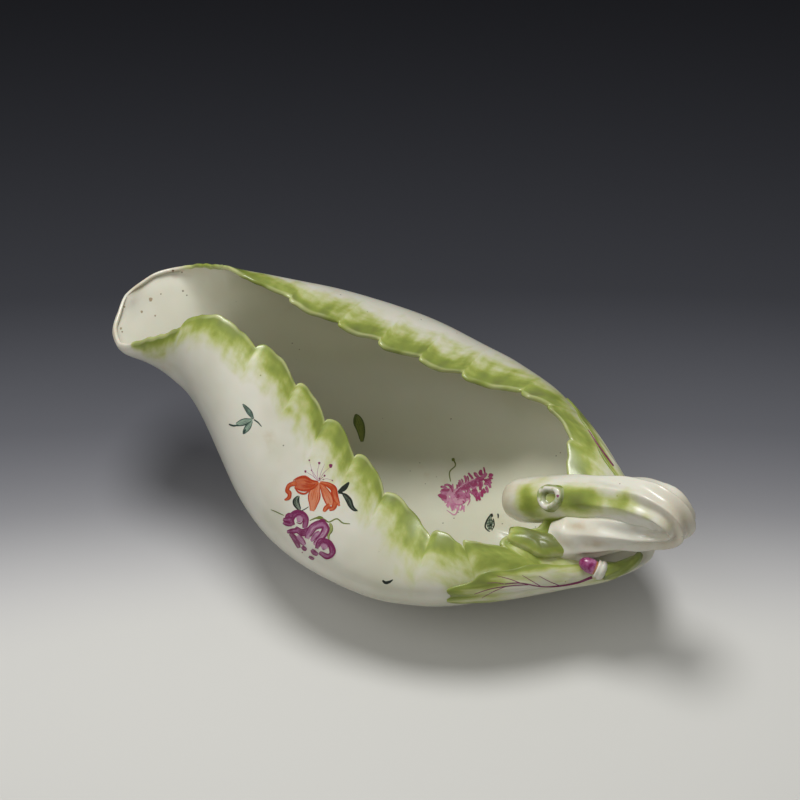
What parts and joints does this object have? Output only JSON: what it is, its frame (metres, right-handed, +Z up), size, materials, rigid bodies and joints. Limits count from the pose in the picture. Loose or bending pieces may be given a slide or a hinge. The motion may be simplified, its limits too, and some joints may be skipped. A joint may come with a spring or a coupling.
{
  "type": "porcelain sauceboat",
  "caption": "Leaf-moulded porcelain sauceboat with an incurved lobed rim, wide pouring lip, oval foot ring, fluted stalk handle and applied leaves, twig stump and flower bud.",
  "frame": {"origin": "centre of the bounding box, on the plane that the foot ring stands on", "axes": "+Z up, -X towards the pouring lip, +X towards the handle, -Y the side that carries the bud and the twig stump"},
  "size_m": [0.2, 0.1022, 0.0761],
  "materials": {
    "white_porcelain": "clear glossy glaze over white porcelain, washed green along the rim",
    "green_porcelain": "glossy yellow-green enamel wash over white porcelain",
    "puce_porcelain": "glossy puce enamel over white porcelain"
  },
  "bodies": {
    "root": {"boat_shell": "white_porcelain", "foot_ring": "white_porcelain", "handle_stalk": "white_porcelain", "twig_stump": "green_porcelain", "rim_leaf": "green_porcelain", "stern_leaf_near": "green_porcelain", "stern_leaf_far": "green_porcelain", "bud_stalk": "green_porcelain", "bud_calyx": "white_porcelain", "flower_bud": "puce_porcelain"}
  },
  "joints": []
}
